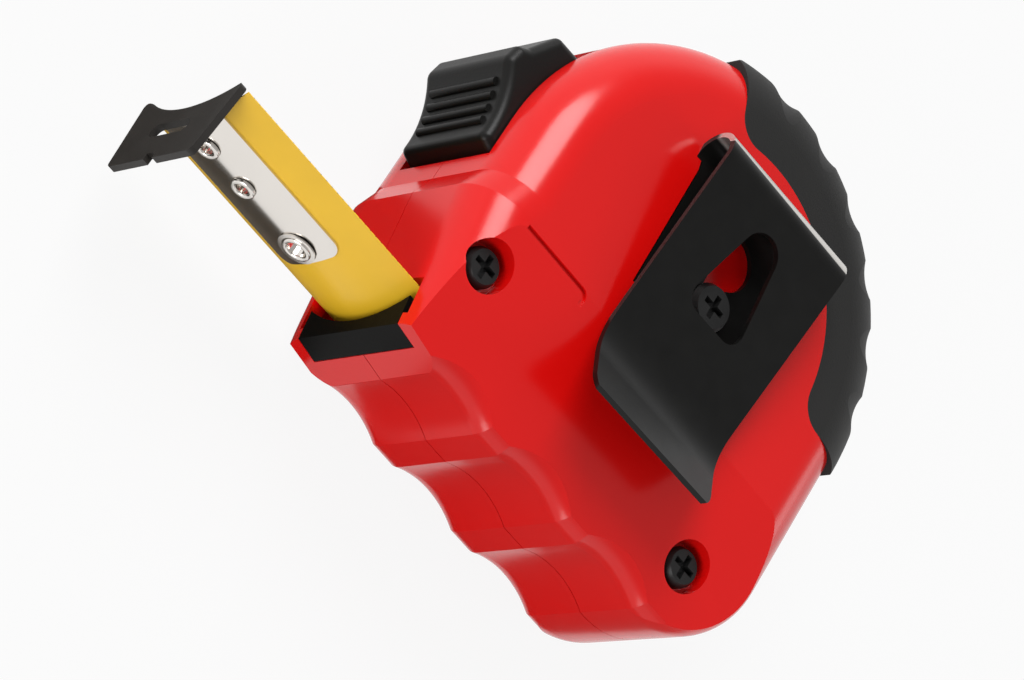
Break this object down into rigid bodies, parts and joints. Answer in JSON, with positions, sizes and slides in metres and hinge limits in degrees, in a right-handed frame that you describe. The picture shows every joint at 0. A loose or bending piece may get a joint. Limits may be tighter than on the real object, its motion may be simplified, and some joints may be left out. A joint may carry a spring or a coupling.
{
  "type": "tape measure",
  "caption": "Palm-size retractable tape measure with a round-backed red case, rubber humps, thumb lock, belt clip and a yellow curved steel blade with a sliding end hook.",
  "frame": {"origin": "on the reel axis, at the flat outer face of the plain side, which the tape measure lies on", "axes": "+Z along the reel axis towards the belt clip, -X the way the blade leaves the mouth, -Y towards the base with the finger grooves"},
  "size_m": [0.0936, 0.0678, 0.0366],
  "materials": {
    "red_shell": "moulded glossy red plastic",
    "bumper_rubber": "matt moulded rubber",
    "black_plastic": "satin moulded plastic",
    "black_clip": "black finished spring steel with worn edges",
    "black_steel": "blackened steel",
    "inner_plastic": "plain moulded plastic",
    "spring_steel": "tempered spring steel",
    "yellow_blade": "lacquered yellow steel",
    "bright_plate": "bright nickel",
    "dark_hook": "dark finished steel"
  },
  "bodies": {
    "case": {"clip_side_shell": "red_shell", "plain_side_shell": "red_shell", "clip_side_bumper": "bumper_rubber", "plain_side_bumper": "bumper_rubber", "mouth_insert": "black_plastic", "case_screws": "black_steel", "belt_clip": "black_clip", "clip_screw": "black_steel", "spindle": "inner_plastic", "thrust_washers": "inner_plastic", "mainspring": "spring_steel"},
    "reel": {"reel_drum": "inner_plastic", "reel_cover": "inner_plastic", "tape_coil": "yellow_blade"},
    "blade": {"tape_blade": "yellow_blade", "hook_plate": "bright_plate", "hook_rivets": "bright_plate", "end_rivet": "bright_plate", "tape_lead": "yellow_blade"},
    "hook": {"end_hook": "dark_hook"},
    "lock": {"lock_button": "black_plastic", "lock_arm": "black_plastic", "brake_pad": "bumper_rubber"}
  },
  "joints": [
    {"name": "reel_spin", "type": "hinge", "parent": "case", "child": "reel", "pos_m": [0, 0, 0.0153], "axis": [0, 0, 1], "range_deg": [-38, 74.5], "deforming": ["mainspring"]},
    {"name": "blade_slide", "type": "slide", "parent": "case", "child": "blade", "axis": [1, 0, 0], "range_m": [-0.015, 0.0293], "deforming": ["tape_lead"]},
    {"name": "hook_slide", "type": "slide", "parent": "blade", "child": "hook", "axis": [1, 0, 0], "range_m": [-0.001, 0]},
    {"name": "lock_slide", "type": "hinge", "parent": "case", "child": "lock", "pos_m": [0, 0, 0.0153], "axis": [0, 0, 1], "range_deg": [-9, 0]}
  ],
  "couplings": [
    {"joint": "blade_slide", "follows": "reel_spin", "m_per_rad": 0.0225}
  ]
}
